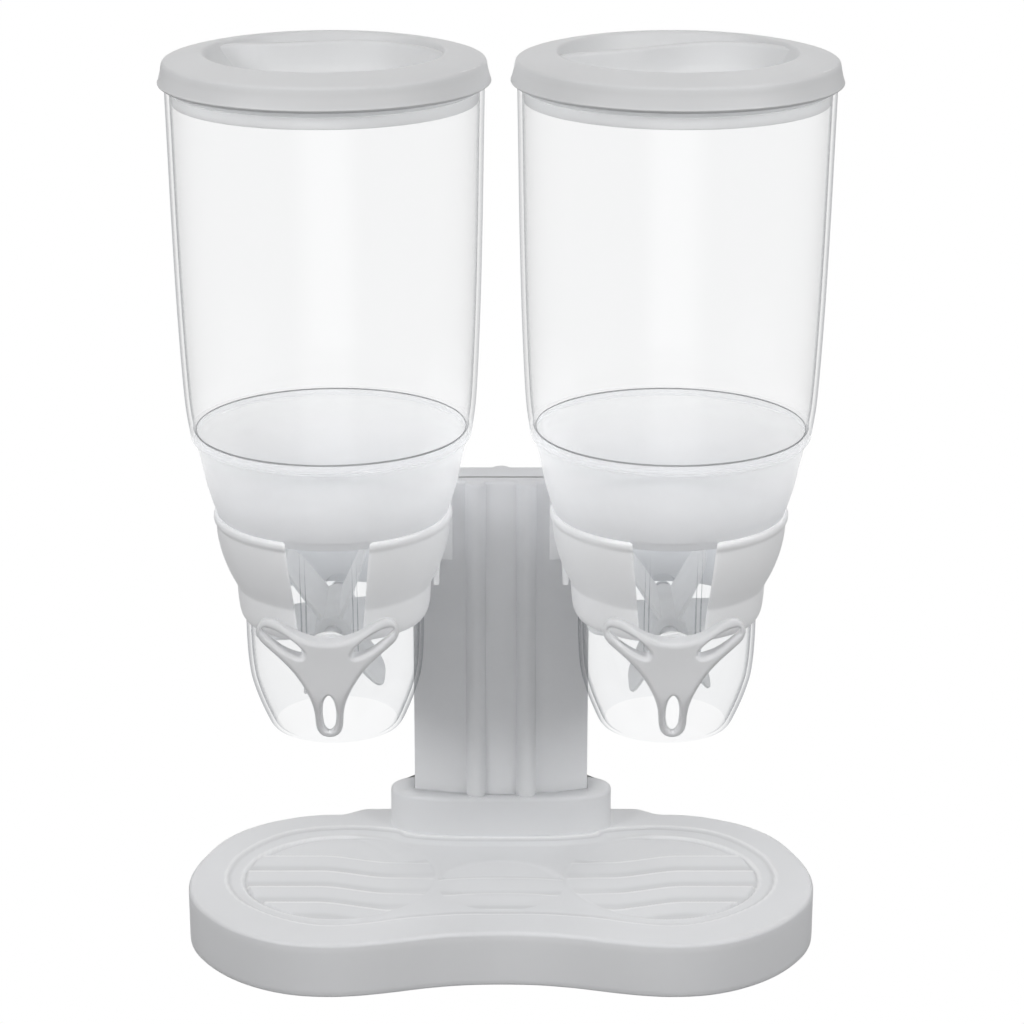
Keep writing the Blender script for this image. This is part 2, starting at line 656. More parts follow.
def base_mesh():
    count = 1080
    deck_rings = 165
    edge = base_edge(count)
    loops = [at_height(inward(edge, 2.6) * f, BASE_FLOOR_Z) for f in (0.02, 0.25, 0.5, 0.75, 0.97)]
    loops += [at_height(inward(edge, inset), z) for inset, z in BASE_WALL]
    loops += rounded_top(edge, DECK_Z, BASE_EDGE_R, steps=8, first=1)
    recess = catmull_closed(RECESS, 6)
    inner = inward(edge, BASE_EDGE_R)
    deck = np.vstack([inner * f for f in np.linspace(1, 0.004, deck_rings + 1)[1:]])
    x, y = deck[:, 0], deck[:, 1]
    deck = np.c_[deck, deck_height(x, y, loop_distance(recess, x, y))]
    loops += [deck[k * count:(k + 1) * count] for k in range(deck_rings)]
    shell = loft("base_shell", loops)
    x, y, z = mesh_points(shell).T
    on_deck = (z > 19.9) & (np.hypot(x, y) > 1.0)
    masks = crest_mask(x, y, loop_distance(recess, x, y))
    for name, field in zip(("crest", "groove"), masks):
        attribute = shell.data.attributes.new(name, "FLOAT", "POINT")
        attribute.data.foreach_set("value", (field * on_deck).astype(np.float32))
    return shell


# ------------------------------------------------------------------ column and its collar
COLLAR_Y = 55.15
COLLAR_HALF_X, COLLAR_HALF_Y = 51.6, 16.05
# (z, scale) up the collar's outside
COLLAR_OUT = [(22.0, 1.012), (24.9, 1.012), (25.5, 1.004), (26.6, 1.0), (33.0, 1.0), (40.2, 1.0)]
COLLAR_TOP = 43.7
# (z, x scale, y scale) down its opening
COLLAR_IN = [(COLLAR_TOP, 1.0, 1.0), (43.2, 0.995, 0.99), (27.5, 0.993, 0.985)]


def oval(count=288):
    """Squared oval plan of the collar."""
    out = []
    for i in range(count):
        a = 2 * math.pi * i / count
        across, along = math.cos(a), math.sin(a)
        out.append((COLLAR_HALF_X * math.copysign(abs(across) ** 0.62, across),
                    COLLAR_Y + COLLAR_HALF_Y * math.copysign(abs(along) ** 0.8, along)))
    return out


def column_front(x, grow=0.0):
    """Y of the column's bowed front face."""
    half, sag = COLUMN_HALF + grow, COLUMN_CORNER - COLUMN_FRONT
    bow = (half * half + sag * sag) / (2 * sag)
    return COLUMN_FRONT - grow + bow - np.sqrt(bow * bow - x ** 2)


def column_plan(grow=0.0, ribs=True):
    """Dense anticlockwise plan; two half-round ribs in front and a flatter one behind."""
    half, side, back = COLUMN_HALF + grow, COLUMN_CORNER - grow, COLUMN_BACK + grow
    corner_r = 2.5
    xs = np.linspace(-half, half, 481)
    front = column_front(xs, grow)
    if ribs:
        root = 0.35     # softens the line where a rib meets the face
        for rib_x in (-11.5, 11.5):
            square = 4.6 ** 2 - (xs - rib_x) ** 2
            bulge = np.where(square > 0, 46.6 - np.sqrt(np.maximum(square, 0)), 1e9)
            share = np.clip(0.5 + 0.5 * (front - bulge) / root, 0, 1)
            front = np.minimum(front, bulge) - root * share * (1 - share) * 0.5
    pts = list(zip(xs, front))
    flat, rise = half - corner_r, back - corner_r - side
    arc = [math.radians(90 * k / 8) for k in range(1, 9)]
    pts += [(half, side + rise * k / 12) for k in range(1, 13)]
    pts += [(flat + corner_r * math.cos(a), back - corner_r + corner_r * math.sin(a)) for a in arc]
    for x in np.linspace(flat, -flat, 241)[1:]:
        rib = 2.6 * math.sqrt(max(0.0, 1 - (x / 4.0) ** 2)) if ribs else 0.0
        pts.append((x, back + rib))
    pts += [(-flat - corner_r * math.sin(a), back - corner_r + corner_r * math.cos(a)) for a in arc]
    pts += [(-half, back - corner_r - rise * k / 12) for k in range(1, 12)]
    return pts


def collar_mesh():
    def scaled(points, by_x, by_y):
        return [(x * by_x, COLLAR_Y + (y - COLLAR_Y) * by_y) for x, y in points]

    outer = oval()
    loops = [at_height(scaled(outer, f, f), z) for z, f in COLLAR_OUT]
    loops += rounded_top(outer, COLLAR_TOP, 1.6, steps=7)
    # the opening follows the column, met at the oval's own angles
    angle = np.array([math.atan2(y - COLLAR_Y, x) for x, y in outer])
    plan = np.array(column_plan(0.5, ribs=False))
    plan_angle = np.arctan2(plan[:, 1] - COLLAR_Y - 4.0, plan[:, 0])
    order = np.argsort(plan_angle)
    inner = list(zip(*(np.interp(angle, plan_angle[order], plan[order, axis], period=2 * math.pi)
                       for axis in (0, 1))))
    loops += [at_height(scaled(inner, by_x, by_y), z) for z, by_x, by_y in COLLAR_IN]
    return loft("collar", loops)


def make_base():
    pieces = [base_mesh(), collar_mesh()]
    # stiffening ribs under the deck, foot bosses and column screw seats
    for x in (-36, 36):
        section = rounded([(x - 1.0, 6.0, 0.6), (x + 1.0, 6.0, 0.6), (x + 1.2, 19.6, 0),
                           (x - 1.2, 19.6, 0)], 4)
        pieces.append(loft("rib", [[(sx, y, sz) for sx, sz in section] for y in (-61.5, 68.0)]))
    boss = rounded([(0, 2.0, 0), (7.1, 2.0, 0.2), (7.1, 0.0, 0.3), (9.0, 0.0, 0.5),
                    (9.2, 19.6, 0), (0, 19.6, 0)], 4)
    for x, y in FOOT_SPOTS:
        pieces.append(lathe("boss", boss, 64, x, y, closed=False))
    seat = rounded([(1.7, 23.9, 0), (4.4, 23.9, 0.2), (4.4, 19.35, 0.2), (6.2, 19.35, 0.4),
                    (6.2, 18.4, 0.4), (4.1, 18.4, 0.2), (4.1, 23.6, 0), (1.7, 23.6, 0)], 4)
    for x in COLUMN_SCREW_X:
        pieces.append(lathe("screw_seat", seat, 64, x, COLUMN_SCREW_Y))
    finish_piece(join(pieces, "base_moulding"), M_BASE, "stand", "base")


def make_column():
    plan = column_plan()
    loops = [at_height(plan, z) for z in (27.0, 60.0, 100.0, 140.0, 170.0, 190.0, 194.5)]
    loops += rounded_top(plan, 196.2, 1.4, steps=7, first=1)
    shell = sharpen(loft("column_shell", loops), 50)
    finish_piece(shell, M_COLUMN, "stand", "column")


# ------------------------------------------------------------------ holders
# (radius, z) up the ring's outside, over its lip, and up its inside
RING_OUT = [(39.75, 151.4), (40.9, 153.4), (41.6, 156.0), (42.05, 160.0), (42.3, 164.0),
            (42.45, 166.2), (43.4, 168.4), (46.1, 174.0), (49.0, 182.5), (50.4, 190.0),
            (50.7, 194.6)]
RING_LIP = [(50.95, 195.3), (51.5, 196.0), (51.75, 197.0), (51.7, 198.0), (51.35, 198.75),
            (50.8, 199.05), (50.1, 199.05)]
RING_IN = [(39.45, 151.4), (39.45, 155.0), (39.6, 163.0), (40.8, 168.4), (44.1, 174.6),
           (47.0, 183.1), (48.8, 191.0), (49.4, 199.0)]
SLOT_HALF = (13.6, 18.0)            # half width of the front slot, bottom and top
SLOT_SHRINK = {0: 0.42, 1: 0.12}    # thinning of the sections nearest the slot
PLATE_THICK = 3.0
# (z, scale) of the mounting plate's sections
PLATE = [(159.6, 0.97), (159.85, 0.99), (160.3, 1.0), (195.3, 1.0), (195.75, 0.99), (196.0, 0.97)]
WEBS = ((27.2, 29.6), (35.6, 38.0))     # X span of each web from ring to plate
WEB_Z = (163.5, 191.5)


def holder_ring(mid_x):
    """Flared ring, open at the front."""
    outer = catmull(RING_OUT, 6)
    profile = outer + RING_LIP + catmull(RING_IN, 6)[::-1]
    turns = np.unique(np.r_[np.linspace(0, 1, 220), 0.0016, 0.004, 1 - 0.004, 1 - 0.0016])
    loops = []
    for k, turn in enumerate(turns):
        shrink = SLOT_SHRINK.get(min(k, len(turns) - 1 - k), 0.0)
        loop = []
        for i, (radius, z) in enumerate(profile):
            up = np.clip((z - 151.4) / 47.6, 0, 1)
            gap = math.asin((SLOT_HALF[0] + (SLOT_HALF[1] - SLOT_HALF[0]) * up) / radius)
            angle = -math.pi / 2 + gap + (2 * math.pi - 2 * gap) * turn
            radius += -shrink if i < len(outer) + 6 else shrink
            if z > 198.8:
                z -= shrink
            loop.append((mid_x + radius * math.cos(angle), radius * math.sin(angle), z))
        loops.append(loop)
    return sharpen(loft("ring", loops, cap_step=1), 48)


def make_holder(name, mid_x):
    side = 1 if mid_x > 0 else -1
    pieces = [holder_ring(mid_x)]
    # plate on the column's front face
    xs = np.linspace(22.0, 39.4, 13)
    plan = [(side * x, column_front(x) - 0.1) for x in xs]
    plan += [(side * x, column_front(x) - 0.1 - PLATE_THICK) for x in reversed(xs)]
    cen_x, cen_y = np.mean(np.array(plan), 0)
    loops = [[(cen_x + (x - cen_x) * (1 - (1 - f) * 0.6), cen_y + (y - cen_y) * f, z)
              for x, y in plan] for z, f in PLATE]
    pieces.append(sharpen(loft("plate", loops), 30))
    # webs from the ring back to the plate
    ring_r, ring_z = zip(*RING_OUT)
    for near, far in WEBS:
        from_axis = abs(mid_x) - (near + far) / 2
        back_y = column_front(near) - 1.5
        outline = []
        for z in np.linspace(*WEB_Z, 15):
            radius = np.interp(z, ring_z, ring_r) - 0.8
            outline.append((math.sqrt(max(radius * radius - from_axis * from_axis, 0.1)), z))
        outline += [(back_y, WEB_Z[1]), (back_y, WEB_Z[0])]
        web = loft("web", [[(x, y, z) for y, z in outline]
                           for x in sorted((side * near, side * far))])
        pieces.append(sharpen(web, 30))
    finish_piece(join(pieces, name + "_ring"), M_HOLDER, "stand", name)


# ------------------------------------------------------------------ canister and funnel
# (radius, z) up the canister's outside, over its rim, and round its welded foot
CAN_OUT = [(60.0, 233.1), (60.35, 233.6), (60.95, 238.0), (61.7, 243.0), (62.35, 249.0),
           (63.3, 265.0), (64.4, 292.0), (65.3, 326.5), (65.9, 360.4), (66.2, 377.0),
           (66.3, 383.2)]
CAN_RIM = [(66.1, 384.3), (65.7, 385.2), (65.6, 386.4), (65.6, 389.7), (65.4, 390.3),
           (64.9, 390.5), (64.6, 390.4), (64.25, 389.9)]
CAN_FOOT = [(59.3, 237.6), (58.55, 237.0), (58.5, 236.2), (58.5, 233.6), (58.9, 233.15),
            (59.5, 233.0)]
CAN_WALL = 2.0

# (radius, z): the funnel's upper edge, outside (going down), lower edge, inside (going up)
FUN_EDGE = [(57.75, 236.55), (57.9, 236.8), (58.1, 236.8), (58.25, 236.5), (58.25, 236.1),
            (58.25, 232.9), (59.0, 232.75), (59.25, 232.4), (59.0, 231.9), (58.35, 231.5)]
FUN_OUT = [(58.1, 230.6), (56.1, 222.3), (54.3, 213.2), (52.3, 206.1), (50.5, 200.6)]
FUN_SPOUT = [(50.2, 199.6), (49.9, 199.2), (49.5, 199.15), (49.1, 198.8), (49.1, 196.5),
             (48.8, 196.05), (48.2, 195.95), (47.4, 196.05), (47.15, 196.6)]
FUN_IN = [(47.9, 199.0), (48.6, 200.4), (50.2, 206.9), (52.0, 214.0), (53.8, 223.0),
          (56.0, 231.9), (57.3, 235.2)]


def make_canister(name, mid_x, body):
    outer = catmull(CAN_OUT, 8)
    inner = [(radius - CAN_WALL, z) for radius, z in outer if z > 239.5]
    shell = lathe(name + "_shell", outer + CAN_RIM + inner[::-1] + CAN_FOOT, 192, mid_x)
    finish_piece(shell, M_CLEAR, body, name)
    # the welded foot shares the funnel's milky look
    second_material(shell, M_FROST, lambda center: center.z < 236.6 * MM)


def make_funnel(name, mid_x, body):
    profile = FUN_EDGE + catmull(FUN_OUT, 8) + FUN_SPOUT + FUN_IN
    shell = lathe(name + "_shell", profile, 192, mid_x)
    finish_piece(shell, M_FROST, body, name)
    # the thin welded edge reads as one fine line
    second_material(shell, M_RIM, lambda center: center.z > 236.1 * MM)


# ------------------------------------------------------------------ cup
# (radius, z) down the outside
CUP = [(48.9, 195.6), (48.3, 190.0), (46.6, 182.5), (43.7, 174.0), (40.7, 168.4), (39.5, 163.5),
       (39.15, 158.0), (39.1, 150.5), (38.85, 138.0), (38.35, 130.0), (37.5, 123.5),
       (36.2, 118.5), (34.4, 113.0), (31.6, 106.0), (29.6, 101.8), (28.7, 100.6)]
CUP_TOP = 195.6
CUP_WALL = 1.9
# (y, scale about the axle height) of the front box, outside and inside
BOX_OUT = [(-48.0, 0.95), (-47.7, 0.985), (-47.1, 1.0), (-10.0, 1.0)]
BOX_IN = [(-46.0, 1.0), (-10.0, 1.0)]


def box_prism(name, half, low, top, corner_r, stations):
    section = rounded([(-half, low, corner_r), (half, low, corner_r), (half, top, 0),
                       (-half, top, 0)], 8)
    return loft(name, [[(x * f, y, (z - AXLE_Z) * f + AXLE_Z if z < AXLE_Z else z)
                        for x, z in section] for y, f in stations])


def make_cup(name, mid_x, body):
    outer = catmull(CUP, 7)
    seg = 176
    cup = lathe("cup_outer", [(0, CUP_TOP)] + outer + [(0, 100.5)], seg, closed=False)
    inner = [(radius - CUP_WALL, z + 0.25) for radius, z in outer if z < 195.0]
    inner = [(0, 197.0), (48.9 - CUP_WALL, 197.0)] + inner + [(28.4 - CUP_WALL, 99.0), (0, 99.0)]
    void = lathe("cup_inner", inner, seg, closed=False)
    boolean(cup, box_prism("box_outer", 12.0, 136.0, CUP_TOP, 7.0, BOX_OUT), "UNION")
    boolean(cup, void, "DIFFERENCE")
    boolean(cup, box_prism("box_inner", 10.0, 138.0, 197.0, 3.5, BOX_IN), "DIFFERENCE")
    # axle boss on the back wall, bush hole in the front
    boss = lathe("boss", rounded([(4.05, 0, 0.3), (4.05, 4.4, 0.2), (0, 4.4, 0), (0, 5.4, 0),
                                  (7.0, 5.4, 0), (7.0, 0, 0.6)], 4), 64)
    lay_along_y(boss, y=32.6, degrees=-90)
    hole = lathe("hole", [(0, 0), (6.05, 0), (6.05, 10), (0, 10)], 96, closed=False)
    boolean(cup, lay_along_y(hole, y=-42.0), "DIFFERENCE")
    edit = bmesh.new()
    edit.from_mesh(cup.data)
    bmesh.ops.remove_doubles(edit, verts=edit.verts, dist=2e-6)
    bmesh.ops.dissolve_degenerate(edit, edges=edit.edges, dist=2e-6)
    edit.to_mesh(cup.data)
    edit.free()
    shell = join([sharpen(cup, 28), sharpen(boss, 40)], name + "_shell")
    shell.data.transform(Matrix.Translation((mid_x * MM, 0, 0)))
    finish_piece(shell, M_CUP, body, name)


# ------------------------------------------------------------------ lids
# (radius, z): dish from the centre out, raised rim out and down, underside back to the centre
LID_DISH = [(0.0, 382.4), (20.0, 382.4), (34.0, 382.7), (40.5, 383.9), (44.6, 386.5),
            (46.9, 390.3)]
LID_RIM = [(46.9, 390.3), (48.6, 394.6), (49.4, 396.6), (50.1, 397.3), (51.0, 397.5),
           (53.0, 397.35), (57.5, 396.7), (62.5, 395.6), (65.2, 394.85), (66.3, 394.4),
           (66.95, 393.75), (67.3, 392.7), (67.7, 390.4), (68.3, 388.0), (68.8, 386.3),
           (69.05, 385.6), (68.8, 385.1)]
LID_UNDER = [(67.6, 384.25), (66.9, 384.6), (66.3, 385.8), (66.0, 387.0), (65.85, 390.2),
             (65.5, 390.6), (64.2, 390.6), (63.9, 390.2), (63.9, 385.7), (62.9, 385.6),
             (62.9, 381.8), (63.8, 381.75), (63.9, 381.5), (63.9, 377.7), (63.6, 377.1),
             (63.0, 376.9), (61.6, 376.9), (61.3, 377.2), (61.3, 378.2), (61.1, 391.4),
             (60.2, 392.4), (53.4, 394.2), (51.9, 393.6), (49.4, 388.0), (46.6, 383.6),
             (42.0, 380.9), (36.0, 380.2), (0.0, 380.2)]
# (x, y) of the curved grip wall that crosses each dish, from the lid's centre
GRIP_LEFT = [(-52.5, 15.0), (-46.5, 20.5), (-39.2, 25.0), (-31.0, 26.2), (-24.4, 26.4),
             (-12, 29.3), (0.6, 32.6), (10.0, 34.4), (23.5, 31.0), (34.7, 22.3), (43.5, 12.6),
             (48.5, 3.5), (52.0, -5.7)]
GRIP_RIGHT = [(-51.5, -8.0), (-46.0, -1.5), (-36.1, 4.5), (-25.5, 9.2), (-14.9, 14.2),
              (-5.0, 21.0), (3.8, 26.0), (13.0, 29.2), (23.8, 29.6), (36.2, 25.0),
              (45.5, 17.0), (52.2, 9.5)]
# (offset from the path, z) of half the grip's section, foot to crest
GRIP_SECTION = [(7.0, 381.0), (7.0, 382.2), (5.2, 382.9), (3.9, 383.9), (3.0, 385.4),
                (2.45, 387.6), (2.05, 391.0), (1.75, 394.6), (1.6, 395.6), (1.25, 396.1),
                (0.7, 396.4), (0.0, 396.5)]


def lid_grip(points):
    path = np.array(catmull(points, 10))
    along = np.gradient(path, axis=0)
    along /= np.linalg.norm(along, axis=1)[:, None]
    loops = []
    for point, normal in zip(path, np.c_[-along[:, 1], along[:, 0]]):
        loop = []
        for offset, z in mirrored(GRIP_SECTION):
            spot = point + normal * offset
            # the ends stay inside the rim
            reach = math.hypot(*spot)
            limit = 50.6 if z > 390 else 48.4
            if reach > limit:
                spot = spot * limit / reach
            loop.append((spot[0], spot[1], min(z, 396.2) if reach > 49 else z))
        loops.append(loop)
    return sharpen(loft("grip", loops, cap_step=1), 60)


def make_lid(name, mid_x, body):
    profile = catmull(LID_DISH, 8)[:-1] + catmull(LID_RIM, 6) + LID_UNDER
    disc = sharpen(lathe("lid_body", profile, 216, closed=False), 42)
    lid = join([disc, lid_grip(GRIP_LEFT if mid_x < 0 else GRIP_RIGHT)], name + "_moulding")
    lid.data.transform(Matrix.Translation((mid_x * MM, 0, 0)))
    finish_piece(lid, M_LID, body, name)
    # the plug under the rim takes up light through the clear wall
    second_material(lid, M_PLUG, lambda center: center.z < 384.6 * MM and
                    math.hypot(center.x - mid_x * MM, center.y) > 60.5 * MM)


def make_seal(name, mid_x, body):
    profile = rounded([(62.95, 381.95, 0.1), (63.6, 381.95, 0.2), (64.15, 382.7, 0.35),
                       (63.8, 383.7, 0.4), (64.15, 384.7, 0.35), (63.6, 385.45, 0.2),
                       (62.95, 385.45, 0.1)], 5)
    ring = lathe(name + "_ring", profile, 216, mid_x)
    finish_piece(ring, M_SEAL, body, name)


# ------------------------------------------------------------------ rotor
# (x, y) of half the three-looped knob's edge, top to bottom, and of its openings;
# y is up and 0 is the axle
KNOB_EDGE = [(0.0, 10.6), (4.6, 11.0), (9.4, 12.4), (13.5, 14.2), (17.5, 16.6), (21.0, 18.7),
             (24.6, 19.9), (27.6, 19.2), (29.7, 16.6), (30.0, 13.6), (28.6, 10.4), (26.0, 7.8),
             (22.3, 4.7), (17.9, 0.7), (13.9, -4.0), (10.6, -9.3), (8.3, -14.0), (6.8, -18.6),
             (6.05, -23.5), (5.8, -27.6), (4.9, -30.9), (2.8, -33.0), (0.0, -33.6)]
LEAF_UP = [(27.5, 16.0), (24.6, 15.9), (20.2, 14.1), (15.4, 11.3), (11.6, 8.0), (10.1, 5.4),
           (11.0, 4.1), (14.9, 5.0), (18.8, 7.0), (22.8, 10.0), (25.9, 12.7), (27.6, 14.6)]
LEAF_LOW = mirrored([(0.0, -13.4), (1.7, -15.4), (2.6, -18.6), (2.95, -22.2), (2.75, -25.8),
                     (2.0, -29.2), (0.0, -31.0)])
# (height, outward flare) of the tool that cuts an opening; the inset at its end is the flare
LEAF_CUT = [(-1.5, 1.0), (0.0, 0.55), (0.9, 0.12), (2.0, 0.0), (6.6, 0.0), (8.0, 0.25),
            (9.0, 0.75), (9.9, 1.6), (11.0, 2.2)]
KNOB_DEPTH = 9.6
KNOB_Y = -52.4          # back of the knob

BLADES = 6
BLADE_TIP = 35.2        # radius of the blade's tip
BLADE_HALF = 21.0       # half its length along the axle
BLADE_STEPS = 46
BLADE_REACH = 36.5      # no blade point lies farther from the wheel's centre
# (side of the middle plane, inset of the edge) through a blade's thickness
BLADE_SLICES = [(-1.0, 0.55), (-0.85, 0.18), (-0.5, 0.0), (0.5, 0.0), (0.85, 0.18), (1.0, 0.55)]


def remesh(piece, voxel):
    modifier = piece.modifiers.new("r", "REMESH")
    modifier.mode = "VOXEL"
    modifier.voxel_size = voxel * MM
    modifier.use_smooth_shade = True
    smooth = piece.modifiers.new("s", "SMOOTH")
    smooth.iterations = 4
    smooth.factor = 0.5
    apply_modifiers(piece)
    shade_smooth(piece.data)


def shape_knob(knob):
    """The flat hub stands forward, the loops fall back and get thinner."""
    points = mesh_points(knob)
    radius = np.hypot(points[:, 0], points[:, 1])
    outer = step(radius, 13.0, 33.0)
    share = points[:, 2] / KNOB_DEPTH
    back = 1.3 * outer
    front = KNOB_DEPTH - 4.3 * outer
    points[:, 2] = back + (front - back) * share
    points[:, 2] -= np.where(share > 0.5, 0.35 * np.exp(-(radius / 9.0) ** 2), 0.0)
    knob.data.vertices.foreach_set("co", (points * MM).ravel())
    knob.data.update()


def make_knob(name, mid_x, body):
    edge = catmull_closed(mirrored(KNOB_EDGE[::-1]), 7)
    loops = []
    for k in range(8):
        a = math.radians(90 * k / 7)
        loops.append(at_height(inward(edge, 1.6 * (1 - math.sin(a))), 1.6 * (1 - math.cos(a))))
    loops += rounded_top(edge, KNOB_DEPTH, 2.3, steps=9)
    knob = loft("knob_body", loops)
    for leaf in (LEAF_UP, [(-x, y) for x, y in LEAF_UP], LEAF_LOW):
        curve = catmull_closed(leaf, 5)
        area = sum(a[0] * b[1] - b[0] * a[1] for a, b in zip(curve, curve[1:] + curve[:1]))
        if area < 0:
            curve = curve[::-1]
        tool = loft("leaf", [at_height(inward(curve, -flare), z) for z, flare in LEAF_CUT])
        boolean(knob, tool, "DIFFERENCE")
    remesh(knob, 0.38)
    shape_knob(knob)
    boss = lathe("boss", rounded([(4.02, -2.1, 0.3), (10.6, -2.1, 0.8), (11.2, -1.2, 0.5),
                                  (11.0, 1.0, 0), (4.02, 1.0, 0)], 5), 96)
    grip = join([knob, sharpen(boss, 40)], name + "_grip")
    grip.data.transform(rotor_place(mid_x, KNOB_Y))
    fix_normals(grip)
    finish_piece(grip, M_KNOB, body, name)


def blade_outline():
    """(along the axle, radius) round a blade."""
    outline = [(-BLADE_HALF, 5.0)]
    for i in range(BLADE_STEPS + 1):
        a = math.pi - math.pi * i / BLADE_STEPS
        along = BLADE_HALF * math.copysign(abs(math.cos(a)) ** 0.55, math.cos(a))
        radius = 12.0 + (BLADE_TIP - 12.0) * abs(math.sin(a)) ** 0.62
        if math.hypot(radius, along) > BLADE_REACH:
            radius = math.sqrt(BLADE_REACH ** 2 - along * along)
        outline.append((along, radius))
    outline.append((BLADE_HALF, 5.0))
    return outline


def blade_slices():
    """Loops of (radius, sideways, along the axle): thinner and leaning towards the tip."""
    slices = []
    for side, inset in BLADE_SLICES:
        loop = []
        for along, radius in blade_outline():
            if radius > 6:
                radius -= inset
            thick = 1.15 - 0.45 * (radius / BLADE_TIP)
            lean = 1.6 * max(0.0, (radius - 12.0) / BLADE_TIP) ** 2
            loop.append((radius, side * thick + lean, along * (1 - inset / BLADE_HALF)))
        slices.append(loop)
    return slices


def make_paddle(name, mid_x, body):
    hub = lathe("hub", rounded([(4.02, -22, 0.3), (8.0, -22, 1.2), (8.0, 22, 1.2),
                                (4.02, 22, 0.3)], 5), 72)
    slices = blade_slices()
    blades = []
    for k in range(BLADES):
        a = math.radians(360 / BLADES * k)
        loops = [[(x * math.cos(a) - y * math.sin(a), x * math.sin(a) + y * math.cos(a), z)
                  for x, y, z in loop] for loop in slices]
        blades.append(sharpen(loft("blade", loops), 40))
    wheel = join([sharpen(hub, 40)] + blades, name + "_soft")
    lead = math.radians(6.0 if mid_x < 0 else 2.0)
    wheel.data.transform(rotor_place(mid_x) @ Matrix.Rotation(lead, 4, "Z"))
    fix_normals(wheel)
    finish_piece(wheel, M_SOFT, body, name)


def make_axle(name, mid_x, body):
    profile = rounded([(0, -36.4, 0), (AXLE_R, -36.4, 0.7), (AXLE_R, 58.0, 0.7), (0, 58.0, 0)], 5)
    rod = lay_along_y(lathe(name + "_rod", profile, 64, closed=False), mid_x)
    finish_piece(sharpen(rod, 40), M_BEARING, body, name)


def make_bush(name, mid_x, body):
    profile = rounded([(4.05, 44.6, 0.2), (6.0, 44.6, 0.3), (6.0, 48.1, 0.2), (11.4, 48.1, 0.4),
                       (11.3, 49.4, 0.7), (9.9, 50.2, 0.7), (4.05, 50.2, 0.3)], 5)
    sleeve = lay_along_y(lathe(name + "_sleeve", profile, 96), mid_x)
    finish_piece(sharpen(sleeve, 40), M_BEARING, body, name)


# ------------------------------------------------------------------ small hardware
HEAD_H = 1.8            # screw head


def make_feet():
    """Four pads with ringed undersides."""
    profile = [(0, 0.25)]
    for radius in (1.6, 3.0, 4.4, 5.6):
        profile += [(radius - 0.45, 0.25), (radius - 0.2, 0.0), (radius + 0.35, 0.0),
                    (radius + 0.6, 0.25)]
    profile += [(6.7, 0.1), (7.0, 0.45), (7.0, 1.9), (0, 1.98)]
    pads = [lathe("pad", profile, 64, x, y, closed=False) for x, y in FOOT_SPOTS]
    pads = sharpen(join(pads, "grip_pads"), 40)
    finish_piece(pads, M_FOOT, "stand", "base_feet")


def make_screws(name, spots, axis, length, node):
    """Cross-head screws, each shank pointing along the axis from its spot."""
    profile = rounded([(0, -HEAD_H, 0), (2.0, -1.7, 0.8), (2.9, -0.9, 0.3), (2.9, 0.0, 0.1),
                       (1.45, 0.0, 0.2), (1.45, length - 1.6, 0), (0, length, 0)], 4)
    turn = Vector(axis).to_track_quat("Z", "Y").to_matrix().to_4x4()
    screws = []
    for spot in spots:
        screw = lathe("screw", profile, 40, closed=False)
        for degrees in (0, 90):
            bpy.ops.mesh.primitive_cube_add(size=1.0)
            slot = bpy.context.active_object
            slot.data.transform(Matrix.Rotation(math.radians(degrees), 4, "Z")
                                @ Matrix.Diagonal((0.0034, 0.0008, 0.0016, 1)))
            slot.data.transform(Matrix.Translation((0, 0, -HEAD_H * MM)))
            boolean(screw, slot, "DIFFERENCE")
        screw.data.transform(Matrix.Translation(Vector(spot) * MM) @ turn)
        screws.append(sharpen(screw, 35))
    finish_piece(join(screws, name), M_ZINC, "stand", node)


# ------------------------------------------------------------------ build everything
# (function, part name, moving body) on each side
PARTS = ((make_canister, "canister", "container"), (make_funnel, "funnel", "container"),
         (make_cup, "chute", "container"), (make_bush, "axle_bush", "container"),
         (make_lid, "lid", "lid_set"), (make_seal, "lid_seal", "lid_set"),
         (make_axle, "axle", "rotor"), (make_paddle, "paddle_wheel", "rotor"),
         (make_knob, "knob", "rotor"))

make_base()
make_column()
for side_name, side_x in (("left", -CANISTER_X), ("right", CANISTER_X)):
    make_holder(side_name + "_holder", side_x)
    for make, part, body_name in PARTS:
        make(f"{side_name}_{part}", side_x, f"{side_name}_{body_name}")
make_feet()
make_screws("column_screw_set", [(x, COLUMN_SCREW_Y, 23.95) for x in COLUMN_SCREW_X],
            axis=(0, 0, 1), length=12.0, node="column_screws")
holder_screw_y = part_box("holder_screws")[1].y / MM - HEAD_H
make_screws("holder_screw_set", [(x, holder_screw_y, z) for x in (-32, 32) for z in (168.0, 188.0)],
            axis=(0, -1, 0), length=6.4, node="holder_screws")

# ------------------------------------------------------------------ stage


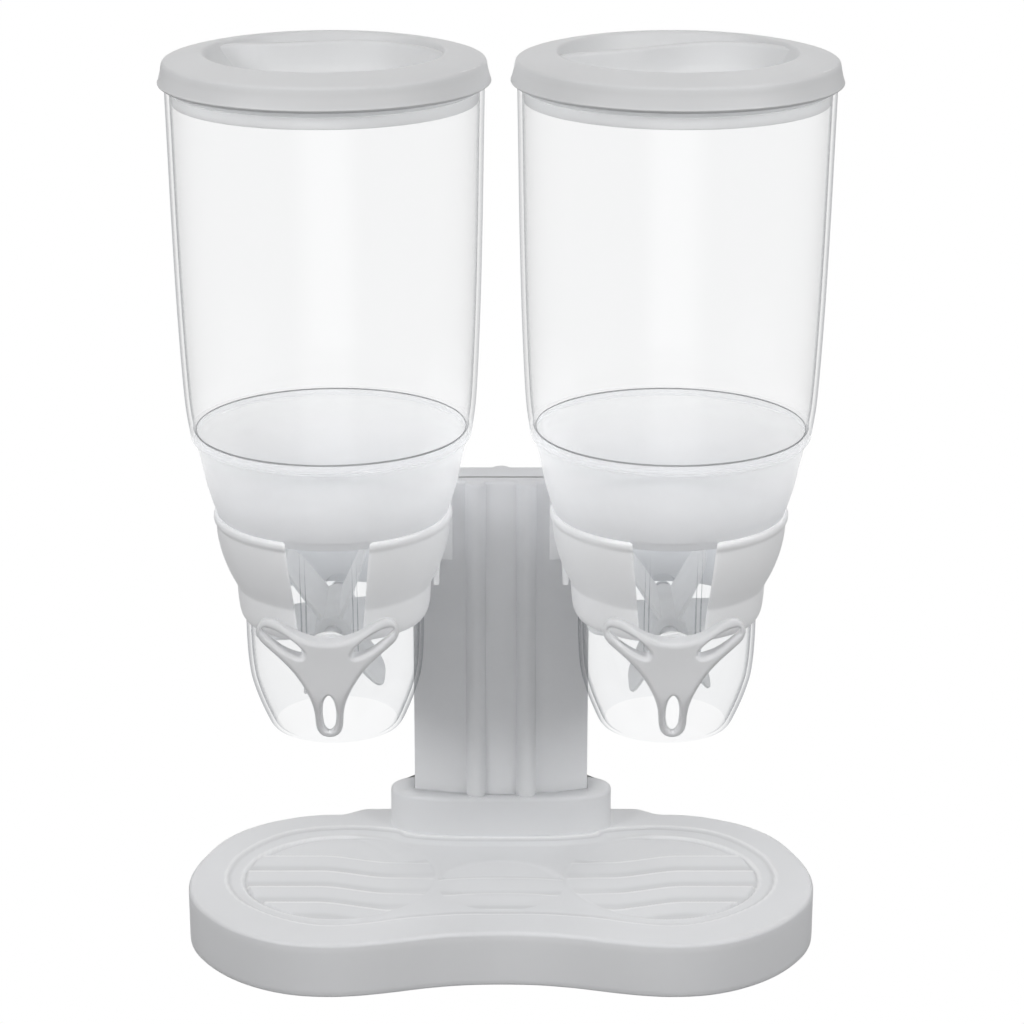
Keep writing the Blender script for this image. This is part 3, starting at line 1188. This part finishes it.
def floor_paper():
    """White paper that looks bright but sends little light back up."""
    mat = new_material("floor_paper")
    grain = mat.noise(scale=600.0)
    path = mat.node("LightPath")
    camera_ray = path["Is Camera Ray"]
    # diffuse rays find it dark, as if a black card lay there
    paper = mat.mix(grain, (0.90, 0.90, 0.90, 1), (0.93, 0.93, 0.93, 1))
    matt = mat.node("BsdfPrincipled", {
        "Base Color": mat.mix(path["Is Diffuse Ray"], paper, (0.26, 0.26, 0.265, 1)),
        "Roughness": 0.9, "Specular IOR Level": 0.1, "Emission Color": (1, 1, 1, 1),
        "Emission Strength": mat.ramp(camera_ray, to=(0.02, 0.86)),
        "Normal": mat.bump(grain, strength=0.05, distance=0.0002)})[0]
    # seen through or mirrored in the clear walls the paper fades out at both sides
    view = mat.node("SeparateXYZ", {0: mat.node("NewGeometry")["Incoming"]})
    fade = mat.ramp(mat.math("ABSOLUTE", view["X"]), over=(0.20, 0.42), to=(1.0, 0.36),
                    smooth=True)
    plain = mat.node("Emission", {"Strength": mat.math("MAXIMUM", fade, camera_ray)})[0]
    clear_ray = mat.math("MAXIMUM", path["Is Transmission Ray"], path["Is Glossy Ray"])
    return mat.surface(mat.mix_shader(mat.math("MAXIMUM", camera_ray, clear_ray), matt, plain))


floor = add_object("floor", [(-4000, -3000, -0.05), (4000, -3000, -0.05), (4000, 5000, -0.05),
                             (-4000, 5000, -0.05)], [(0, 1, 2, 3)])
floor.data.materials.append(floor_paper())

# ------------------------------------------------------------------ light
scene = bpy.context.scene


def studio_world():
    """Bright backdrop behind, dim overhead; the camera itself sees plain white."""
    world = bpy.data.worlds.new("studio")
    scene.world = world
    sky = Tree(world, "OutputWorld")
    incoming = sky.node("SeparateXYZ", {0: sky.node("NewGeometry")["Incoming"]})
    # Incoming points back to the viewer, so the looked-at direction is its negative
    look_y = sky.math("MULTIPLY", incoming["Y"], -1.0)
    look_z = sky.math("MULTIPLY", incoming["Z"], -1.0)
    sideways = sky.math("ABSOLUTE", incoming["X"])
    back = sky.ramp(look_y, over=(-0.4, 0.5), to=(0.32, 1.06), smooth=True)
    above = sky.ramp(look_z, over=(0.30, 0.95), smooth=True)
    # the bright backdrop ends at both sides, which gives the clear walls their outlines
    level = sky.ramp(sky.math("ABSOLUTE", look_z), over=(0.70, 0.45), smooth=True)
    side = sky.math("MULTIPLY", sky.ramp(sideways, over=(0.26, 0.44), smooth=True), level)
    side_dim = sky.math("SUBTRACT", 1.0, sky.math("MULTIPLY", side, 0.62))
    back = sky.math("MULTIPLY", back, side_dim)
    back = sky.math("MULTIPLY", back, sky.math("SUBTRACT", 1.0, above))
    strength = sky.math("ADD", back, sky.math("MULTIPLY", above, 0.24))
    studio = sky.node("Background", {"Color": (0.995, 0.993, 0.998, 1), "Strength": strength})[0]
    white = sky.node("Background", {"Color": (1, 1, 1, 1), "Strength": 1.0})[0]
    sky.surface(sky.mix_shader(sky.node("LightPath")["Is Camera Ray"], studio, white))


studio_world()

# name, place and target (metres), size (metres), power (watts)
for label, place, target, size, power in (
        ("left_soft", (-1.0, -0.80, 1.0), (0, 0, 0.15), (0.55, 0.6), 9.7),
        ("right_soft", (1.0, -0.80, 1.0), (0, 0, 0.15), (0.55, 0.6), 9.0),
        ("front_soft", (0.0, -2.6, 2.2), (0, 0, 0.10), (1.2, 0.8), 6.2)):
    light = bpy.data.lights.new(label, "AREA")
    light.shape = "RECTANGLE"
    light.size, light.size_y = size
    light.energy = power
    lamp = bpy.data.objects.new(label, light)
    scene.collection.objects.link(lamp)
    lamp.location = place
    lamp.rotation_euler = (Vector(target) - Vector(place)).to_track_quat("-Z", "Y").to_euler()
    lamp.visible_camera = False
    lamp.visible_glossy = False
    lamp.visible_transmission = False

# ------------------------------------------------------------------ camera
CAMERA_DOWN = 19.96     # degrees below level
lens = bpy.data.cameras.new("photo_view")
lens.sensor_width = 36.0
lens.lens = 105.99609375
lens.shift_x = 0.0107421875
lens.shift_y = 0.0859375
lens.clip_end = 30.0
camera = bpy.data.objects.new("photo_view", lens)
scene.collection.objects.link(camera)
camera.location = (0.0, -1.24607, 0.6091)
camera.rotation_euler = (math.radians(90 - CAMERA_DOWN), 0, 0)
scene.camera = camera

scene.view_settings.view_transform = "Standard"
scene.view_settings.look = "None"
if hasattr(scene, "cycles"):
    scene.cycles.max_bounces = 24
    scene.cycles.transmission_bounces = 20
    scene.cycles.transparent_max_bounces = 24
    scene.cycles.glossy_bounces = 8
    scene.cycles.diffuse_bounces = 5
    scene.cycles.caustics_reflective = False
    scene.cycles.caustics_refractive = True
